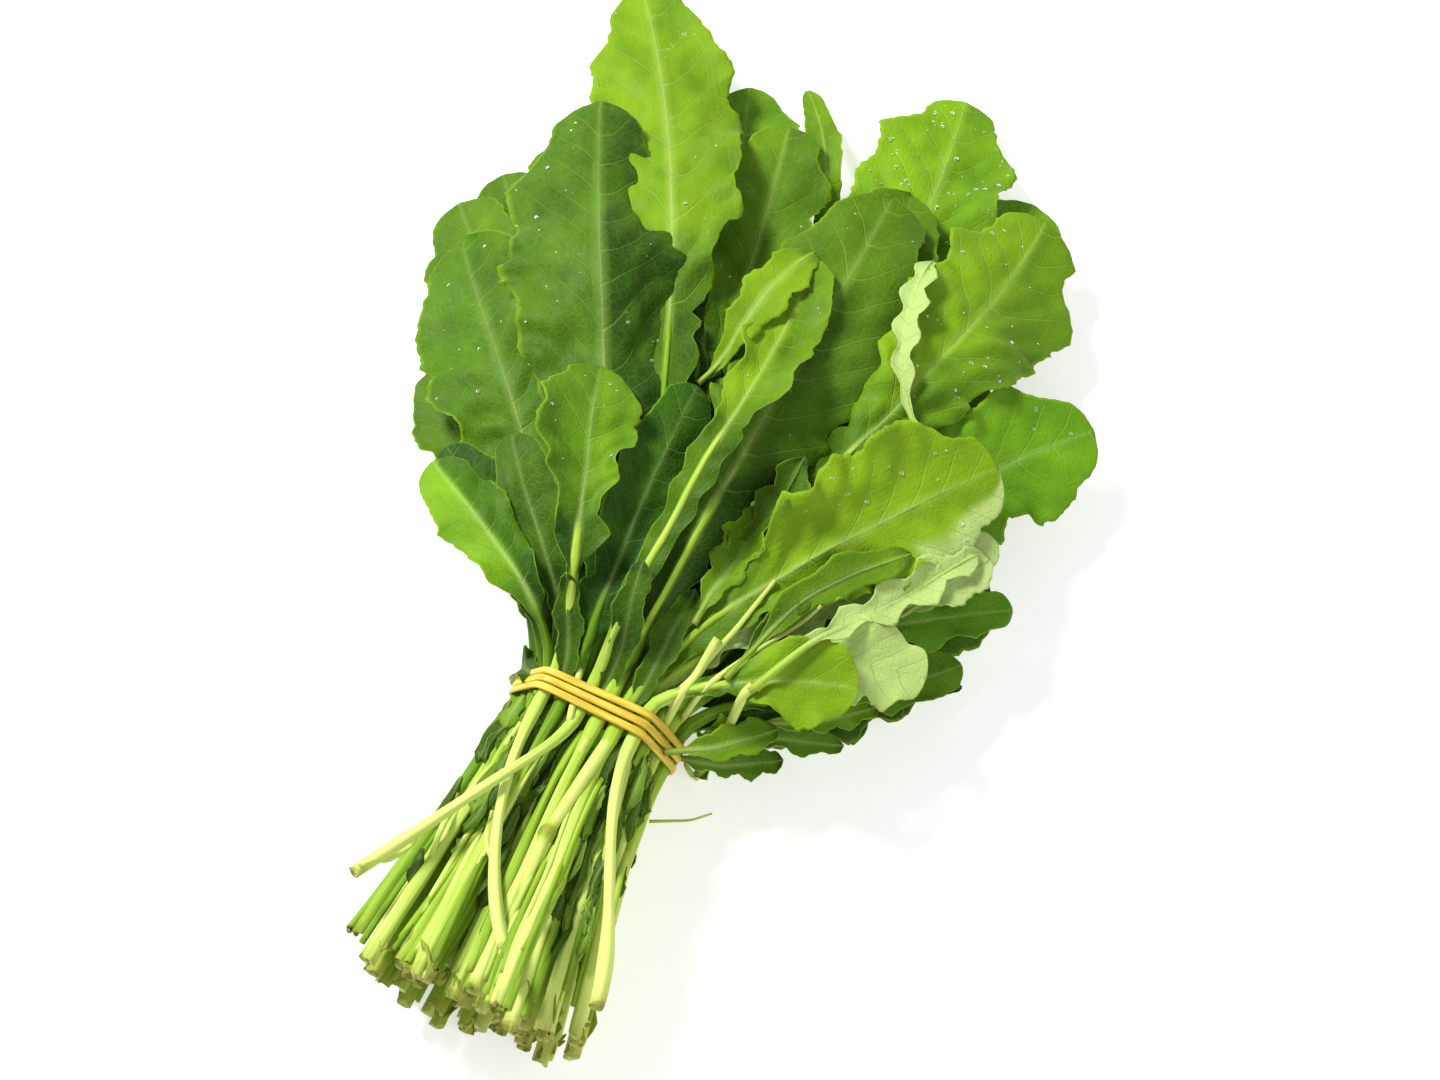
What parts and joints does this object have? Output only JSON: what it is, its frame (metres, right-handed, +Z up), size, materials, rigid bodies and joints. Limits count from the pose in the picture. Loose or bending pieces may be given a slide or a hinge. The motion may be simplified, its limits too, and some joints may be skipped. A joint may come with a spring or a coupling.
{
  "type": "bunch of arugula",
  "caption": "Bunch of fresh arugula lying on its side: leafy stems with lobed green leaves, cut short and held by a wound rubber band.",
  "frame": {"origin": "the middle of the band's flat underside, where the bunch rests on the table", "axes": "+Y along the bunch from the cut ends to the leaf tips, +Z up from the table, +X across the bunch"},
  "size_m": [0.1876, 0.2911, 0.0688],
  "materials": {
    "leaf_and_stem": "fresh leaf, satin green above and paler below, on pale yellow-green stems",
    "band": "satin ochre rubber"
  },
  "bodies": {
    "root": {"leafy_stem_0_0": "leaf_and_stem", "leafy_stem_0_1": "leaf_and_stem", "leafy_stem_0_2": "leaf_and_stem", "leafy_stem_0_3": "leaf_and_stem", "leafy_stem_0_4": "leaf_and_stem", "leafy_stem_1_0": "leaf_and_stem", "leafy_stem_1_1": "leaf_and_stem", "leafy_stem_1_2": "leaf_and_stem", "leafy_stem_1_3": "leaf_and_stem", "leafy_stem_1_4": "leaf_and_stem", "leafy_stem_1_5": "leaf_and_stem", "leafy_stem_2_0": "leaf_and_stem", "leafy_stem_2_1": "leaf_and_stem", "leafy_stem_2_2": "leaf_and_stem", "leafy_stem_2_3": "leaf_and_stem", "leafy_stem_2_4": "leaf_and_stem", "leafy_stem_2_5": "leaf_and_stem", "leafy_stem_2_6": "leaf_and_stem", "leafy_stem_3_0": "leaf_and_stem", "leafy_stem_3_1": "leaf_and_stem", "leafy_stem_3_2": "leaf_and_stem", "leafy_stem_3_3": "leaf_and_stem", "leafy_stem_3_4": "leaf_and_stem", "leafy_stem_3_5": "leaf_and_stem", "leafy_stem_3_6": "leaf_and_stem", "leafy_stem_3_7": "leaf_and_stem", "leafy_stem_4_0": "leaf_and_stem", "leafy_stem_4_1": "leaf_and_stem", "leafy_stem_4_2": "leaf_and_stem", "leafy_stem_4_3": "leaf_and_stem", "leafy_stem_4_4": "leaf_and_stem", "leafy_stem_4_5": "leaf_and_stem", "leafy_stem_4_6": "leaf_and_stem", "leafy_stem_4_7": "leaf_and_stem", "leafy_stem_4_8": "leaf_and_stem", "leafy_stem_5_0": "leaf_and_stem", "leafy_stem_5_1": "leaf_and_stem", "leafy_stem_5_2": "leaf_and_stem", "leafy_stem_5_3": "leaf_and_stem", "leafy_stem_5_4": "leaf_and_stem", "leafy_stem_5_5": "leaf_and_stem", "leafy_stem_5_6": "leaf_and_stem", "leafy_stem_5_7": "leaf_and_stem", "leafy_stem_6_0": "leaf_and_stem", "leafy_stem_6_1": "leaf_and_stem", "leafy_stem_6_2": "leaf_and_stem", "leafy_stem_6_3": "leaf_and_stem", "leafy_stem_6_4": "leaf_and_stem", "leafy_stem_6_5": "leaf_and_stem", "leafy_stem_6_6": "leaf_and_stem", "leafy_stem_7_0": "leaf_and_stem", "leafy_stem_7_1": "leaf_and_stem", "leafy_stem_7_2": "leaf_and_stem", "leafy_stem_7_3": "leaf_and_stem", "leafy_stem_7_4": "leaf_and_stem", "leafy_stem_7_5": "leaf_and_stem", "rubber_band": "band"}
  },
  "joints": []
}
